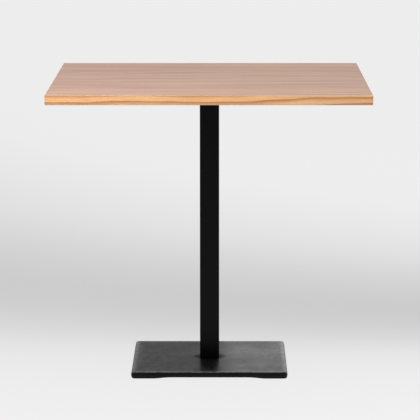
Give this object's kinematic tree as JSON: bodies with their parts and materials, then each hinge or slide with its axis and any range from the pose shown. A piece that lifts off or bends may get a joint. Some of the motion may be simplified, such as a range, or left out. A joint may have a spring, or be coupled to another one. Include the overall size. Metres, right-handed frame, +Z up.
{
  "type": "bistro table",
  "caption": "Square bistro table: an oak-veneered top on a square black steel column and a flat cast-iron foot plate with screw-adjusted levelling feet.",
  "frame": {"origin": "on the floor, under the column's centre, which is the middle of the bounding box's bottom face", "axes": "+Z up along the column; +X with the grain of the top; the front edge is at -Y"},
  "size_m": [0.8, 0.8, 0.75],
  "materials": {
    "oak_face": "satin lacquer",
    "oak_back": "matt lacquer",
    "oak_edge": "satin lacquer",
    "chipboard": "raw",
    "powder_coat": "satin black powder coat",
    "cast_coat": "fine-textured black powder coat",
    "zinc": "zinc plate",
    "black_steel": "black oxide",
    "nylon": "matt"
  },
  "bodies": {
    "table": {"top_veneer": "oak_face", "core_panel": "chipboard", "bottom_veneer": "oak_back", "front_lipping": "oak_edge", "back_lipping": "oak_edge", "left_lipping": "oak_edge", "right_lipping": "oak_edge", "threaded_insert_1": "zinc", "threaded_insert_2": "zinc", "threaded_insert_3": "zinc", "threaded_insert_4": "zinc", "threaded_insert_5": "zinc", "threaded_insert_6": "zinc", "threaded_insert_7": "zinc", "threaded_insert_8": "zinc", "plate_screw_1": "black_steel", "plate_screw_2": "black_steel", "plate_screw_3": "black_steel", "plate_screw_4": "black_steel", "plate_screw_5": "black_steel", "plate_screw_6": "black_steel", "plate_screw_7": "black_steel", "plate_screw_8": "black_steel", "mounting_plate": "powder_coat", "upper_locator": "black_steel", "column_tube": "powder_coat", "tie_rod": "zinc", "upper_nut": "zinc", "upper_washer": "zinc", "lower_nut": "zinc", "lower_washer": "zinc", "base_plate": "cast_coat"},
    "front_left_pad": {"front_left_foot_pad": "nylon"},
    "front_left_stud": {"front_left_foot_stud": "zinc"},
    "front_right_pad": {"front_right_foot_pad": "nylon"},
    "front_right_stud": {"front_right_foot_stud": "zinc"},
    "back_left_pad": {"back_left_foot_pad": "nylon"},
    "back_left_stud": {"back_left_foot_stud": "zinc"},
    "back_right_pad": {"back_right_foot_pad": "nylon"},
    "back_right_stud": {"back_right_foot_stud": "zinc"}
  },
  "joints": [
    {"name": "front_left_foot_level", "type": "slide", "parent": "table", "child": "front_left_pad", "axis": [0, 0, -1], "range_m": [0, 0.00375]},
    {"name": "front_left_foot_turn", "type": "hinge", "parent": "front_left_pad", "child": "front_left_stud", "pos_m": [-0.17, -0.17, 0.005], "axis": [0, 0, -1], "range_deg": [0, 1080]},
    {"name": "front_right_foot_level", "type": "slide", "parent": "table", "child": "front_right_pad", "axis": [0, 0, -1], "range_m": [0, 0.00375]},
    {"name": "front_right_foot_turn", "type": "hinge", "parent": "front_right_pad", "child": "front_right_stud", "pos_m": [0.17, -0.17, 0.005], "axis": [0, 0, -1], "range_deg": [0, 1080]},
    {"name": "back_left_foot_level", "type": "slide", "parent": "table", "child": "back_left_pad", "axis": [0, 0, -1], "range_m": [0, 0.00375]},
    {"name": "back_left_foot_turn", "type": "hinge", "parent": "back_left_pad", "child": "back_left_stud", "pos_m": [-0.17, 0.17, 0.005], "axis": [0, 0, -1], "range_deg": [0, 1080]},
    {"name": "back_right_foot_level", "type": "slide", "parent": "table", "child": "back_right_pad", "axis": [0, 0, -1], "range_m": [0, 0.00375]},
    {"name": "back_right_foot_turn", "type": "hinge", "parent": "back_right_pad", "child": "back_right_stud", "pos_m": [0.17, 0.17, 0.005], "axis": [0, 0, -1], "range_deg": [0, 1080]}
  ],
  "couplings": [
    {"joint": "front_left_foot_level", "follows": "front_left_foot_turn", "m_per_rad": 0.00019894},
    {"joint": "front_right_foot_level", "follows": "front_right_foot_turn", "m_per_rad": 0.00019894},
    {"joint": "back_left_foot_level", "follows": "back_left_foot_turn", "m_per_rad": 0.00019894},
    {"joint": "back_right_foot_level", "follows": "back_right_foot_turn", "m_per_rad": 0.00019894}
  ]
}
